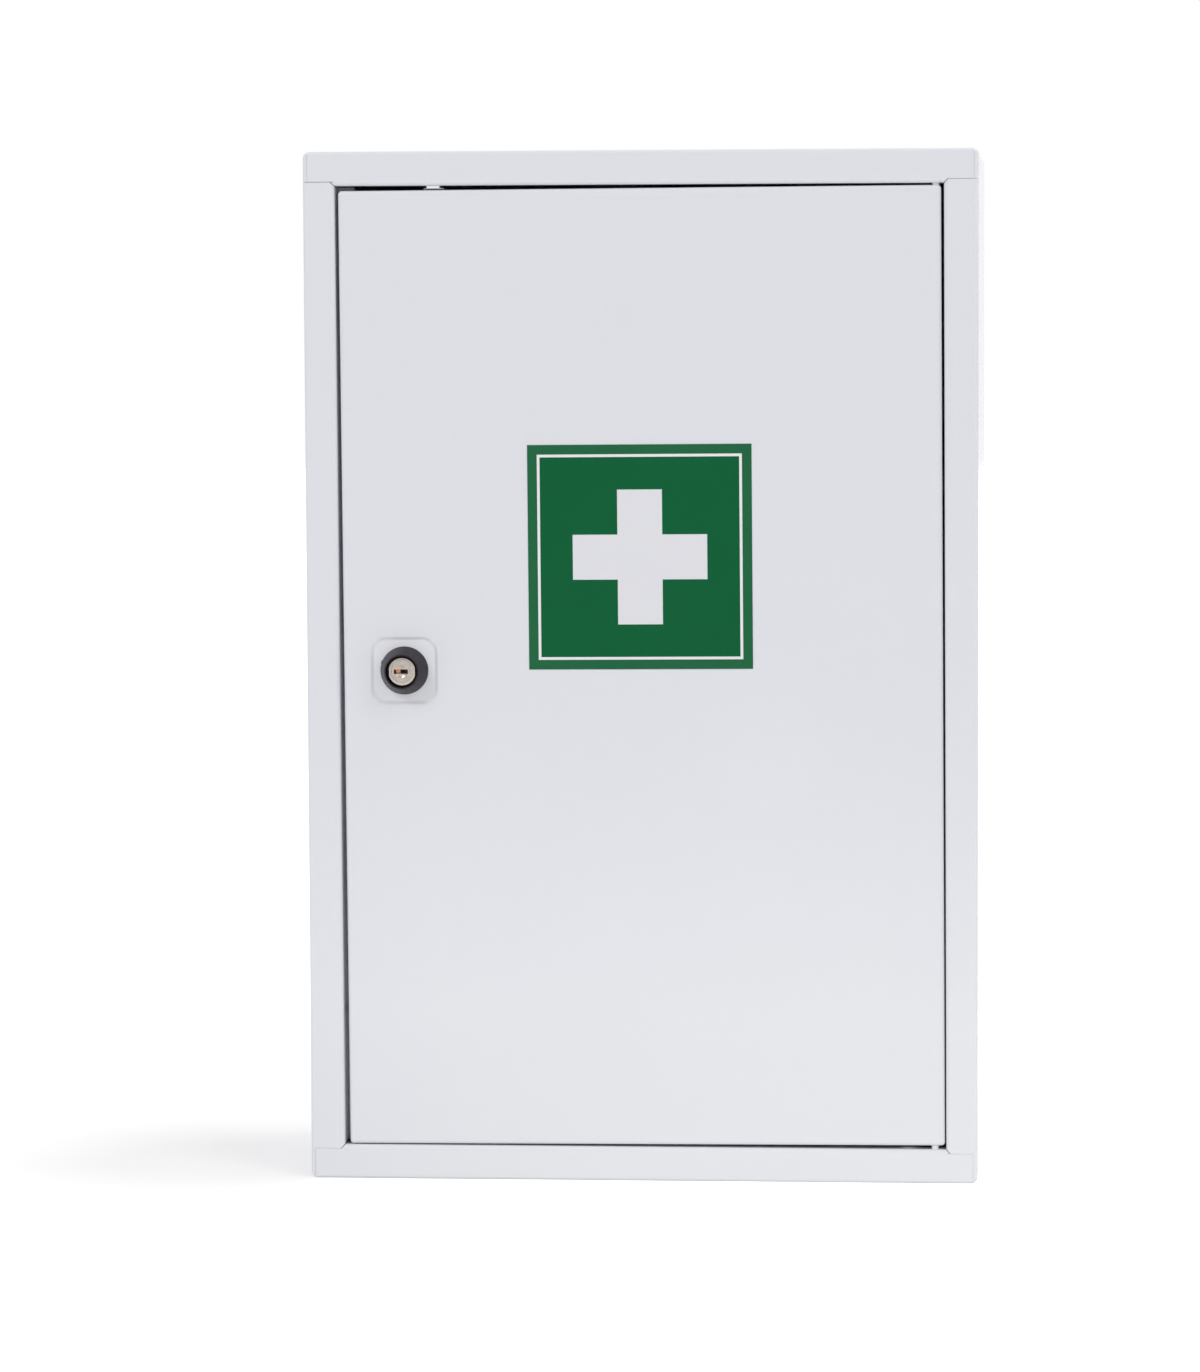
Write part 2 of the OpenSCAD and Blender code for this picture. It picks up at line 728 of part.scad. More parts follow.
module lock_plug() {
    slot_l = tumbler_l + 2 * tumbler_clearance;
    slot_h = tumbler_h + 2 * tumbler_clearance;
    spring_z = slot_h / 2 + spring_d / 2 + tumbler_clearance;
    color(nickel) on_lock() difference() {
        union() {
            bar_y(plug_y, plug_y + plug_face_t, plug_face_d);
            bar_y(plug_y + plug_face_t, plug_rear_y, plug_d);
            block([-tail_side / 2, plug_rear_y, -tail_side / 2],
                  [tail_side / 2, tail_rear_y, tail_side / 2]);
        }
        translate([-keyway_shift, 0, 0]) {
            block([-keyway_w / 2, plug_y - cut, -keyway_h / 2],
                  [keyway_w / 2, plug_y + keyway_depth, keyway_h / 2]);
            translate([0, plug_y + guide_depth, 0]) rotate([90, 0, 0])
                cylinder(d1 = guide_d - 2 * guide_depth, d2 = guide_d, h = guide_depth);
        }
        bar_y(tail_rear_y - screw_l - fit, tail_rear_y + cut, screw_d + 2 * fit);
        for (i = [0 : tumbler_count - 1]) {
            front = tumbler_y(i) - tumbler_clearance;
            rear = tumbler_y(i) + tumbler_t + tumbler_clearance;
            block([-slot_l / 2, front, -slot_h / 2], [slot_l / 2, rear, slot_h / 2]);
            translate([-spring_l / 2 - tumbler_clearance, tumbler_y(i) + tumbler_t / 2, spring_z])
                rotate([0, 90, 0])
                    cylinder(d = spring_d + 2 * tumbler_clearance, h = spring_l + 2 * tumbler_clearance);
        }
    }
}

module tumblers() {
    window_h = keyway_h + 2 * tumbler_clearance;
    color(copper) on_lock() for (i = [0 : tumbler_count - 1]) {
        y = tumbler_y(i);
        difference() {
            block([-tumbler_l / 2, y, -tumbler_h / 2], [tumbler_l / 2, y + tumbler_t, tumbler_h / 2]);
            translate([tumbler_l / 2 - tumbler_strip_w - tumbler_window_w, 0, 0])
                block([0, y - cut, -window_h / 2], [tumbler_window_w, y + tumbler_t + cut, window_h / 2]);
        }
    }
}

module tumbler_springs() {
    spring_z = tumbler_h / 2 + spring_d / 2 + 2 * tumbler_clearance;
    color(zinc) on_lock() for (i = [0 : tumbler_count - 1]) {
        translate([-spring_l / 2, tumbler_y(i) + tumbler_t / 2, spring_z]) rotate([0, 90, 0])
            cylinder(d = spring_d, h = spring_l);
    }
}

module lock_cam() {
    half_w = cam_w / 2;
    corner = half_w - cam_corner_r;
    rear = cam_y + cam_t;
    color(zinc) on_lock() difference() {
        union() {
            bar_y(cam_y, rear, cam_hub_d);
            block([-half_w, cam_y, cam_corner_r - cam_reach], [half_w, rear, 0]);
            block([-corner, cam_y, -cam_reach], [corner, rear, 0]);
            for (x = [-1, 1]) {
                translate([x * corner, 0, cam_corner_r - cam_reach]) bar_y(cam_y, rear, 2 * cam_corner_r);
            }
        }
        block([-tail_side / 2 - fit, cam_y - cut, -tail_side / 2 - fit],
              [tail_side / 2 + fit, rear + cut, tail_side / 2 + fit]);
    }
}

module cam_washer() {
    y = cam_y + cam_t;
    color(zinc) on_lock() difference() {
        bar_y(y + fit / 2, y + cam_washer_t, cam_washer_d);
        bar_y(y - cut, y + cam_washer_t + cut, screw_d + 2 * fit);
    }
}

module cam_screw() {
    y = cam_screw_y + fit / 2;
    color(zinc) on_lock() difference() {
        union() {
            bar_y(y, y + screw_head_t, screw_head_d);
            bar_y(tail_rear_y - screw_l, y + fit, screw_d);
        }
        for (turn = [0, 90]) {
            rotate([0, turn, 0])
                block([-screw_head_d / 4, y + screw_head_t / 2, -screw_slot_w / 2],
                      [screw_head_d / 4, y + screw_head_t + cut, screw_slot_w / 2]);
        }
    }
}

cabinet_body();
back_panel();
upper_shelf();
lower_shelf();
upper_left_support();
upper_right_support();
lower_left_support();
lower_right_support();
upper_pivot_pin();
lower_pivot_pin();
upper_door_buffer();
lower_door_buffer();
rail_buffer();
door_leaf();
upper_door_tray();
lower_door_tray();
sign_field();
sign_marks();
lock_rosette();
lock_barrel();
lock_washer();
lock_nut();
lock_plug();
tumblers();
tumbler_springs();
lock_cam();
cam_washer();
cam_screw();
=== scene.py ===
"""Looks of the lockable medicine cabinet: camera, light, and every piece with its finish, in metres."""
import math

import bmesh
import bpy
from mathutils import Matrix, Vector


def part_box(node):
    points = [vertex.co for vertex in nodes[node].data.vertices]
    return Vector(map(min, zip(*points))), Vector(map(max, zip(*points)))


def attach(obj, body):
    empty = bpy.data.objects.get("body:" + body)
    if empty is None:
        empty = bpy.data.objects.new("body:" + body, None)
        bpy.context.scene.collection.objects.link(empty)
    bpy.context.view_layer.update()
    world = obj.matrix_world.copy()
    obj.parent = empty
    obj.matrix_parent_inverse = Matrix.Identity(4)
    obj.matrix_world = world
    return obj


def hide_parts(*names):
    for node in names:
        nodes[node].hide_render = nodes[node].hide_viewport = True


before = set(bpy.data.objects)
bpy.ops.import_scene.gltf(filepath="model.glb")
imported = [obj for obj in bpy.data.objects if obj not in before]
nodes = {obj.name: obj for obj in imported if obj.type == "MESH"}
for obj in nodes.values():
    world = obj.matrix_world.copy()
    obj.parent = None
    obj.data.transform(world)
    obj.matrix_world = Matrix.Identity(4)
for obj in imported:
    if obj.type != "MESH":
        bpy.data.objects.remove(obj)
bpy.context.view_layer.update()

# ---- Camera ----
# A long lens stands 2.2 m in front of the cabinet, a little to its right and above its middle.
# It looks slightly left and down, with a trace of roll, and the picture is cropped off its centre.
camera_place = Vector((0.1902, -2.2832, 0.3778))
camera_yaw = math.radians(4.464)
camera_pitch = math.radians(-4.389)
camera_roll = math.radians(-0.194)
photo_w = 1200
photo_h = 1372
photo_axis_x = 680.0
photo_axis_y = 720.0
focal_px = 5000.0
sensor = 36.0

bpy.ops.object.camera_add(location=camera_place)
camera = bpy.context.object
camera.name = "camera"
turn = Matrix.Rotation(camera_yaw, 3, "Z") @ Matrix.Rotation(math.pi / 2 + camera_pitch, 3, "X")
camera.rotation_euler = (turn @ Matrix.Rotation(camera_roll, 3, "Z")).to_euler()
camera.data.sensor_width = sensor
camera.data.lens = focal_px * sensor / max(photo_w, photo_h)
camera.data.shift_x = (photo_w / 2 - photo_axis_x) / max(photo_w, photo_h)
camera.data.shift_y = (photo_axis_y - photo_h / 2) / max(photo_w, photo_h)
bpy.context.scene.camera = camera
bpy.context.scene.view_settings.view_transform = "Standard"

# ---- Floor, background and light ----
# The cabinet stands on a white floor in an even white room. Soft boxes hang at the upper left, the
# upper right and the right side, and one overhead throws the short shadow to the left; a painted
# shade, where the floor's glow is weaker, deepens it. A low warm strip that mirrors don't show
# lights the foot, and a small lamp stands low in front.
floor_half = 12.0
floor_colour = (0.90, 0.90, 0.90, 1.0)
floor_glow = 0.27
floor_glow_near = 0.05
floor_glow_far = 0.60
shadow_middle = (-0.20, -0.03, 0.0)
room_colour = (1.0, 1.0, 1.0, 1.0)
room_level = 0.495
lamp_places = {
    "left_lamp": ((-1.30, -1.90, 1.75), (0.8, 0.7), 15.5),
    "right_lamp": ((1.20, -1.40, 1.70), (1.1, 1.1), 8.5),
    "bounce_lamp": ((0.08, -0.75, 0.06), (0.6, 0.12), 0.19),
    "top_lamp": ((0.50, 0.22, 1.70), (0.9, 0.9), 3.5),
    "side_lamp": ((1.70, -0.12, 0.80), (0.8, 0.8), 3.2),
    "small_lamp": ((-0.036, -1.57, 0.063), (0.03, 0.03), 0.01),
}
lamp_white = (1.0, 1.0, 1.0)
lamp_colours = {"bounce_lamp": (1.0, 0.97, 0.70), "right_lamp": (1.0, 0.985, 0.93)}
lamp_aim = Vector((0.0, -0.05, 0.20))
bounce_aim = Vector((0.08, 0.0, -0.25))
bounce_spread = math.radians(70)


def new_material(name):
    """An empty node material with its output, and its nodes and links."""
    material = bpy.data.materials.new(name)
    material.use_nodes = True
    tree = material.node_tree
    tree.nodes.clear()
    return material, tree, tree.nodes.new("ShaderNodeOutputMaterial")


def arithmetic(tree, operation, first, second=None):
    """A Math node on two values; each is a number or a socket."""
    node = tree.nodes.new("ShaderNodeMath")
    node.operation = operation
    for i, value in enumerate((first, second)):
        if isinstance(value, (int, float)):
            node.inputs[i].default_value = value
        elif value is not None:
            tree.links.new(value, node.inputs[i])
    return node.outputs[0]


def seen_ray(tree):
    """A value that is 1 for what the camera sees, straight, mirrored or through glass."""
    ray = tree.nodes.new("ShaderNodeLightPath").outputs
    seen = arithmetic(tree, "MAXIMUM", ray["Is Camera Ray"], ray["Is Glossy Ray"])
    return arithmetic(tree, "MAXIMUM", seen, ray["Is Transmission Ray"])


def spread(tree, value, low, high, start=0.3, end=0.7):
    """A value between start and end taken to one between low and high."""
    node = tree.nodes.new("ShaderNodeMapRange")
    node.inputs["From Min"].default_value = start
    node.inputs["From Max"].default_value = end
    node.inputs["To Min"].default_value = low
    node.inputs["To Max"].default_value = high
    tree.links.new(value, node.inputs["Value"])
    return node.outputs[0]


bpy.ops.mesh.primitive_plane_add(size=2 * floor_half)
floor = bpy.context.object
floor.name = "floor"
floor_material, tree, output = new_material("white_floor")
matt = tree.nodes.new("ShaderNodeBsdfDiffuse")
matt.inputs["Color"].default_value = floor_colour
distance = tree.nodes.new("ShaderNodeVectorMath")
distance.operation = "DISTANCE"
distance.inputs[1].default_value = shadow_middle
tree.links.new(tree.nodes.new("ShaderNodeTexCoord").outputs["Object"], distance.inputs[0])
# The glow is weakest at the shadow's middle and rises to full white away from it: painted shade.
away = spread(tree, distance.outputs["Value"], floor_glow, 1.0, floor_glow_near, floor_glow_far)
glow = tree.nodes.new("ShaderNodeEmission")
tree.links.new(arithmetic(tree, "MULTIPLY", seen_ray(tree), away), glow.inputs["Strength"])
both = tree.nodes.new("ShaderNodeAddShader")
tree.links.new(matt.outputs[0], both.inputs[0])
tree.links.new(glow.outputs[0], both.inputs[1])
tree.links.new(both.outputs[0], output.inputs["Surface"])
floor.data.materials.append(floor_material)

world = bpy.data.worlds.new("white_room")
bpy.context.scene.world = world
world.use_nodes = True
tree = world.node_tree
tree.nodes.clear()
output = tree.nodes.new("ShaderNodeOutputWorld")
background = tree.nodes.new("ShaderNodeBackground")
background.inputs["Color"].default_value = room_colour
level = spread(tree, seen_ray(tree), room_level, 1.0, 0.0, 1.0)
tree.links.new(level, background.inputs["Strength"])
tree.links.new(background.outputs[0], output.inputs["Surface"])

for name, (place, size, power) in lamp_places.items():
    bpy.ops.object.light_add(type="AREA", location=place)
    lamp = bpy.context.object
    lamp.name = name
    lamp.data.shape = "RECTANGLE"
    lamp.data.size, lamp.data.size_y = size
    lamp.data.energy = power
    lamp.data.color = lamp_colours.get(name, lamp_white)
    lamp.visible_camera = False
    aim = lamp_aim
    if name == "bounce_lamp":
        aim = bounce_aim
        lamp.data.spread = bounce_spread
        lamp.visible_glossy = False
    lamp.rotation_euler = (aim - Vector(place)).to_track_quat("-Z", "Y").to_euler()

# ---- Cabinet body ----
# One wrapped sheet of steel with a welded front frame, powder coated in a cool white. The coat has a
# fine orange peel and faint clouds, and painted shade greys the seams at the top rail's ends.
coat_tints = ((0.800, 0.814, 0.880, 1), (0.806, 0.820, 0.884, 1))
coat_cloud_scale = 9.0
coat_rough = (0.11, 0.15)
coat_rough_scale = 34.0
peel_size = 480.0
peel_height = 0.000007
fine_peel_times = 3.1
fine_peel_share = 0.25
plastic_ior = 1.5
front_y = -0.070
# The seams at the top rail's ends are greyed with painted shade, weaker at the hinge side.
seam_z = 0.44655
seam_half = 0.00015
seam_bottom_y = front_y + 0.00035
seam_from = 0.1362
seam_painted_shade = (0.40, 0.40, 0.43, 1.0)
hinge_side_shade_share = 0.5


def new_group(name, inputs, outputs):
    """A node group with named inputs, their defaults and named outputs, and its two ends."""
    group = bpy.data.node_groups.new(name, "ShaderNodeTree")
    for label, kind, value in inputs:
        socket = group.interface.new_socket(label, in_out="INPUT", socket_type=kind)
        socket.default_value = value
    for label, kind in outputs:
        group.interface.new_socket(label, in_out="OUTPUT", socket_type=kind)
    return group, group.nodes.new("NodeGroupInput"), group.nodes.new("NodeGroupOutput")


def noise(tree, coordinates, scale, detail=2.0):
    """A noise texture on the coordinates, at a scale given by a number or a socket."""
    node = tree.nodes.new("ShaderNodeTexNoise")
    node.inputs["Detail"].default_value = detail
    tree.links.new(coordinates, node.inputs["Vector"])
    if isinstance(scale, (int, float)):
        node.inputs["Scale"].default_value = scale
    else:
        tree.links.new(scale, node.inputs["Scale"])
    return node.outputs["Fac"]


def mixed(tree, factor, first, second):
    """Two colours mixed by a factor; each is a colour or a socket."""
    node = tree.nodes.new("ShaderNodeMix")
    node.data_type = "RGBA"
    for label, colour in (("A", first), ("B", second)):
        socket = next(s for s in node.inputs if s.name == label and s.type == "RGBA")
        if isinstance(colour, tuple):
            socket.default_value = colour
        else:
            tree.links.new(colour, socket)
    factor_socket = next(s for s in node.inputs if s.name == "Factor" and s.type == "VALUE")
    tree.links.new(factor, factor_socket)
    return next(s for s in node.outputs if s.type == "RGBA")


powder_coat, ends_in, ends_out = new_group(
    "powder_coat",
    [("Peel Size", "NodeSocketFloat", peel_size),
     ("Low Roughness", "NodeSocketFloat", coat_rough[0]),
     ("High Roughness", "NodeSocketFloat", coat_rough[1])],
    [("Cloud", "NodeSocketFloat"), ("Roughness", "NodeSocketFloat"), ("Height", "NodeSocketFloat")],
)
tree = powder_coat
place = tree.nodes.new("ShaderNodeTexCoord").outputs["Object"]
cloud = noise(tree, place, coat_cloud_scale, detail=3.0)
peel = noise(tree, place, ends_in.outputs["Peel Size"], detail=1.0)
fine_peel_size = arithmetic(tree, "MULTIPLY", ends_in.outputs["Peel Size"], fine_peel_times)
fine_peel = noise(tree, place, fine_peel_size, detail=1.0)
height = arithmetic(tree, "ADD", peel, arithmetic(tree, "MULTIPLY", fine_peel, fine_peel_share))
polish = spread(tree, noise(tree, place, coat_rough_scale, detail=4.0), *coat_rough)
tree.links.new(ends_in.outputs["Low Roughness"], polish.node.inputs["To Min"])
tree.links.new(ends_in.outputs["High Roughness"], polish.node.inputs["To Max"])
tree.links.new(spread(tree, cloud, 0.0, 1.0), ends_out.inputs["Cloud"])
tree.links.new(polish, ends_out.inputs["Roughness"])
tree.links.new(height, ends_out.inputs["Height"])


def principled(tree, output, **constants):
    """A Principled shader on the output, with constants set on its own sockets."""
    shader = tree.nodes.new("ShaderNodeBsdfPrincipled")
    for label, value in constants.items():
        shader.inputs[label.replace("_", " ")].default_value = value
    tree.links.new(shader.outputs[0], output.inputs["Surface"])
    return shader


def bumped(tree, shader, height, distance):
    """Leads a height to the shader's normal; a height of 1 stands for the distance, in metres."""
    bump = tree.nodes.new("ShaderNodeBump")
    bump.inputs["Distance"].default_value = distance
    tree.links.new(height, bump.inputs["Height"])
    tree.links.new(bump.outputs[0], shader.inputs["Normal"])


def upper_seam_painted_shade(tree):
    """A mask of painted shade in the seams at the top rail's ends, weaker at the hinge side."""
    split = tree.nodes.new("ShaderNodeSeparateXYZ")
    tree.links.new(tree.nodes.new("ShaderNodeTexCoord").outputs["Object"], split.inputs[0])
    from_seam = arithmetic(tree, "ABSOLUTE", arithmetic(tree, "SUBTRACT", split.outputs["Z"], seam_z))
    mask = arithmetic(tree, "LESS_THAN", from_seam, seam_half)
    in_front = arithmetic(tree, "LESS_THAN", split.outputs["Y"], seam_bottom_y)
    sideways = arithmetic(tree, "ABSOLUTE", split.outputs["X"])
    past_notch = arithmetic(tree, "GREATER_THAN", sideways, seam_from)
    share = spread(tree, split.outputs["X"], 1.0, hinge_side_shade_share, -seam_from, seam_from)
    for factor in (in_front, past_notch, share):
        mask = arithmetic(tree, "MULTIPLY", mask, factor)
    return mask


def coat_material(name, tints, mark=None, mark_colour=None):
    """Powder coat between two close tints, with another tint where a mask marks it."""
    material, tree, output = new_material(name)
    coat = tree.nodes.new("ShaderNodeGroup")
    coat.node_tree = powder_coat
    shader = principled(tree, output, IOR=plastic_ior)
    colour = mixed(tree, coat.outputs["Cloud"], *tints)
    if mark:
        colour = mixed(tree, mark(tree), colour, mark_colour)
    tree.links.new(colour, shader.inputs["Base Color"])
    tree.links.new(coat.outputs["Roughness"], shader.inputs["Roughness"])
    bumped(tree, shader, coat.outputs["Height"], peel_height)
    return material


def dress(node, material):
    """Gives a piece one material in all its slots."""
    node.data.materials.clear()
    node.data.materials.append(material)


# The body's coat carries the painted shade of the upper seams.
body_paint = coat_material("body_paint", coat_tints, upper_seam_painted_shade, seam_painted_shade)
dress(nodes["cabinet_body"], body_paint)

# ---- Back panel ----
# A shallow tray of the same sheet closes the rear. Its flanges are spot welded to the walls, and it
# has four holes for the wall screws.
dress(nodes["back_panel"], body_paint)

# ---- Shelves and their supports ----
# Two steel shelves with a folded lip lie on angles that are welded to the side walls. All are coated
# with the body's white.
for name in ("upper_shelf", "lower_shelf", "upper_left_support", "upper_right_support",
             "lower_left_support", "lower_right_support"):
    dress(nodes[name], body_paint)

# ---- Pivot pins ----
# Two short steel pins hold the door, and are painted over with the frame. Their shoulders show in the
# gaps above and below the door.
pin_tints = ((0.82, 0.82, 0.85, 1), (0.84, 0.84, 0.86, 1))
pin_paint = coat_material("pin_paint", pin_tints)
for name in ("upper_pivot_pin", "lower_pivot_pin"):
    dress(nodes[name], pin_paint)

# ---- Door leaf ----
# A pan of sheet steel with soft folded edges and turned-in flanges, powder coated. A square recess
# with round corners is pressed in round the lock, and its floor has painted light against the
# rosette's shade.
door_sheet = 0.0008
door_fold_r = 0.0016
door_flange = 0.008
door_sag = math.radians(-0.28)
recess_side = 0.0300
recess_floor = 0.0276
recess_depth = 0.0007
recess_corner_r = 0.005
recess_round = 0.0006
recess_frame = 0.004
recess_margin = 0.0005
recess_bend = 12
# The recess floor is lightened with painted light that offsets the rosette's shade.
recess_painted_light = (0.850, 0.862, 0.920, 1)
barrel_hole_d = 0.0114
barrel_hole_l = 0.03
pivot_hole_d = 0.0029
pivot_hole_sides = 32
fold_steps = 6
corner_steps = 8
round_steps = 4
straight_on = 0.99

leaf_low, leaf_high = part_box("door_leaf")
leaf_middle = (leaf_low + leaf_high) / 2
across = leaf_high.x - leaf_low.x - 2 * door_fold_r
upright = leaf_high.z - leaf_low.z - 2 * door_fold_r
lean = math.sin(abs(door_sag))
door_w = 2 * door_fold_r + (across * math.cos(door_sag) - upright * lean) / math.cos(2 * door_sag)
door_h = 2 * door_fold_r + (upright * math.cos(door_sag) - across * lean) / math.cos(2 * door_sag)
lock_low, lock_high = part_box("lock_rosette")
lock_middle = (lock_low + lock_high) / 2


def nothing_selected():
    """Leaves edit mode and deselects every object."""
    if bpy.context.object and bpy.context.object.mode != "OBJECT":
        bpy.ops.object.mode_set(mode="OBJECT")
    bpy.ops.object.select_all(action="DESELECT")


def only(piece):
    """Selects one piece alone and makes it the active one."""
    nothing_selected()
    piece.select_set(True)
    bpy.context.view_layer.objects.active = piece


def named(name):
    """Names the new primitive and its mesh, and puts its place in the mesh."""
    piece = bpy.context.object
    piece.name = name
    piece.data.name = name
    bpy.ops.object.transform_apply(location=True, rotation=True, scale=True)
    return piece


def add_block(name, low, high):
    """A cube primitive between two corners."""
    nothing_selected()
    low, high = Vector(low), Vector(high)
    bpy.ops.mesh.primitive_cube_add(size=1, location=(low + high) / 2, scale=high - low)
    return named(name)


def choose(piece, kind, test):
    """In edit mode, selects the vertices, edges or faces that pass a test."""
    if bpy.context.object is not piece or piece.mode != "EDIT":
        only(piece)
        bpy.ops.object.mode_set(mode="EDIT")
    bpy.ops.mesh.select_mode(type=kind)
    bpy.ops.mesh.select_all(action="DESELECT")
    mesh = bmesh.from_edit_mesh(piece.data)
    mesh.normal_update()
    for element in {"VERT": mesh.verts, "EDGE": mesh.edges, "FACE": mesh.faces}[kind]:
        if test(element):
            element.select_set(True)
    mesh.select_flush_mode()
    bmesh.update_edit_mesh(piece.data)


def middle_of(edge):
    """The middle of an edge."""
    return (edge.verts[0].co + edge.verts[1].co) / 2


def depth_of(edge):
    """How far an edge runs from front to rear."""
    return abs(edge.verts[0].co.y - edge.verts[1].co.y)


def faces_front(face):
    """True if a face looks straight to the front."""
    return face.normal.y < -straight_on


def sharp(edge, degrees):
    """True if the edge's two faces meet at more than the angle."""
    return len(edge.link_faces) == 2 and math.degrees(edge.calc_face_angle(0)) > degrees


def apply_modifier(piece, kind, **settings):
    """Adds a modifier with its settings and applies it."""
    only(piece)
    modifier = piece.modifiers.new(kind.lower(), kind)
    for label, value in settings.items():
        setattr(modifier, label, value)
    bpy.ops.object.modifier_apply(modifier=modifier.name)


def cut_away(piece, cutter):
    """Cuts the cutter's shape out of the piece and removes the cutter."""
    apply_modifier(piece, "BOOLEAN", operation="DIFFERENCE", object=cutter, solver="EXACT")
    bpy.data.objects.remove(cutter)


def add_bar(name, place, diameter, length, axis="Y", sides=64):
    """A cylinder primitive centred on a place, along Y or Z."""
    nothing_selected()
    rotation = {"Y": (math.pi / 2, 0, 0), "Z": (0, 0, 0)}[axis]
    bpy.ops.mesh.primitive_cylinder_add(
        vertices=sides, radius=diameter / 2, depth=length, location=place, rotation=rotation)
    return named(name)


def smooth_finish(piece, degrees=30.0):
    """Smooth shading that keeps the flat faces flat."""
    only(piece)
    bpy.ops.object.shade_smooth_by_angle(angle=math.radians(degrees))
    apply_modifier(piece, "WEIGHTED_NORMAL", keep_sharp=True, weight=100)


def sagged(piece, about):
    """Turns the piece with the door, whose free side hangs a little low."""
    only(piece)
    piece.matrix_world = (
        Matrix.Translation(about) @ Matrix.Rotation(door_sag, 4, "Y") @ Matrix.Translation(-about))
    bpy.ops.object.transform_apply(location=True, rotation=True, scale=True)


half = Vector((door_w / 2, 0, door_h / 2))
door_y = leaf_low.y
door_rear_y = leaf_high.y
leaf = add_block("door_panel", (leaf_middle.x - half.x, door_y, leaf_middle.z - half.z),
                 (leaf_middle.x + half.x, door_rear_y, leaf_middle.z + half.z))
choose(leaf, "EDGE", lambda edge: True)
bpy.ops.mesh.bevel(offset=door_fold_r, segments=fold_steps, affect="EDGES")
choose(leaf, "FACE", lambda face: face.normal.y > straight_on)
bpy.ops.mesh.inset(thickness=door_flange - door_fold_r)
bpy.ops.mesh.delete(type="FACE")

unturn = Matrix.Rotation(-door_sag, 3, "Y")
lock_on_leaf = leaf_middle + unturn @ (lock_middle - leaf_middle)
reach = recess_side / 2 + recess_frame
for side, normal in ((-1, (1, 0, 0)), (1, (1, 0, 0)), (-1, (0, 0, 1)), (1, (0, 0, 1))):
    choose(leaf, "FACE", faces_front)
    bpy.ops.mesh.bisect(plane_co=lock_on_leaf + side * reach * Vector(normal), plane_no=normal)


def at_lock(point, reach):
    """True if a point lies within reach of the lock's axis, sideways and up."""
    return abs(point.x - lock_on_leaf.x) < reach and abs(point.z - lock_on_leaf.z) < reach


choose(leaf, "FACE",
       lambda face: faces_front(face) and at_lock(face.calc_center_median(), recess_margin))
bpy.ops.mesh.inset(thickness=recess_frame)
bpy.ops.mesh.inset(thickness=(recess_side - recess_floor) / 2, depth=-recess_depth)
choose(leaf, "EDGE",
       lambda edge: at_lock(middle_of(edge), recess_side / 2) and depth_of(edge) > recess_depth / 2)
bpy.ops.mesh.bevel(offset=recess_corner_r, segments=corner_steps, affect="EDGES")
choose(leaf, "EDGE", lambda edge: at_lock(middle_of(edge), recess_side / 2 + recess_margin)
       and sharp(edge, recess_bend))
bpy.ops.mesh.bevel(offset=recess_round, segments=round_steps, affect="EDGES")
apply_modifier(leaf, "SOLIDIFY", thickness=door_sheet, offset=-1, use_even_offset=True)
cut_away(leaf, add_bar("barrel_hole", lock_on_leaf, barrel_hole_d, barrel_hole_l))
sagged(leaf, leaf_middle)
pin_low, pin_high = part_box("upper_pivot_pin")
pin_middle = (pin_low + pin_high) / 2
pivot_place = (pin_middle.x, pin_middle.y, leaf_middle.z)
cut_away(leaf, add_bar("pivot_holes", pivot_place, pivot_hole_d, 2 * door_h, "Z", pivot_hole_sides))
smooth_finish(leaf)


def beyond(tree, centre, reach):
    """A mask that is 1 where a point is farther than reach from the centre, sideways or up."""
    split = tree.nodes.new("ShaderNodeSeparateXYZ")
    offset = tree.nodes.new("ShaderNodeVectorMath")
    offset.operation = "SUBTRACT"
    offset.inputs[1].default_value = centre
    tree.links.new(tree.nodes.new("ShaderNodeTexCoord").outputs["Object"], offset.inputs[0])
    tree.links.new(offset.outputs[0], split.inputs[0])
    sideways = arithmetic(tree, "ABSOLUTE", split.outputs["X"])
    upwards = arithmetic(tree, "ABSOLUTE", split.outputs["Z"])
    return arithmetic(tree, "GREATER_THAN", arithmetic(tree, "MAXIMUM", sideways, upwards), reach)


def in_lightened_recess(tree):
    """A mask of the recess round the lock, whose coat is painted lighter to offset the rosette's shade.
    """
    return arithmetic(tree, "SUBTRACT", 1.0, beyond(tree, lock_middle, recess_floor / 2))


# The door's coat carries painted light on the recess floor, against the rosette's shade.
door_paint = coat_material("door_paint", coat_tints, in_lightened_recess, recess_painted_light)
dress(leaf, door_paint)
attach(leaf, "door")
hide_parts("door_leaf")

# ---- Door trays ----
# Two open trays of folded sheet are welded to the inside of the door, one above and one below the
# lock. They are coated with the door.
for name in ("upper_door_tray", "lower_door_tray"):
    dress(nodes[name], door_paint)

# ---- Sign ----
# A square of green vinyl film with a white line and a white cross, printed and stuck on the door.
# The green is lighter outside the line, and the line is a purer white than the cross.
sign_margin = 0.0457
sign_line_from = 0.0400
field_greens = ((0.0010, 0.1120, 0.0360, 1), (0.0016, 0.1180, 0.0385, 1))
margin_greens = ((0.0140, 0.1330, 0.0540, 1), (0.0165, 0.1390, 0.0570, 1))
cross_whites = ((0.795, 0.800, 0.858, 1), (0.810, 0.814, 0.866, 1))
line_whites = ((0.870, 0.880, 0.900, 1), (0.885, 0.895, 0.910, 1))
green_rough = (0.34, 0.42)
white_rough = (0.28, 0.36)
green_specular = 0.12
film_ior = 1.46
ink_scale = 30.0
film_scale = 60.0

sign_low, sign_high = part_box("sign_field")
sign_middle = (sign_low + sign_high) / 2


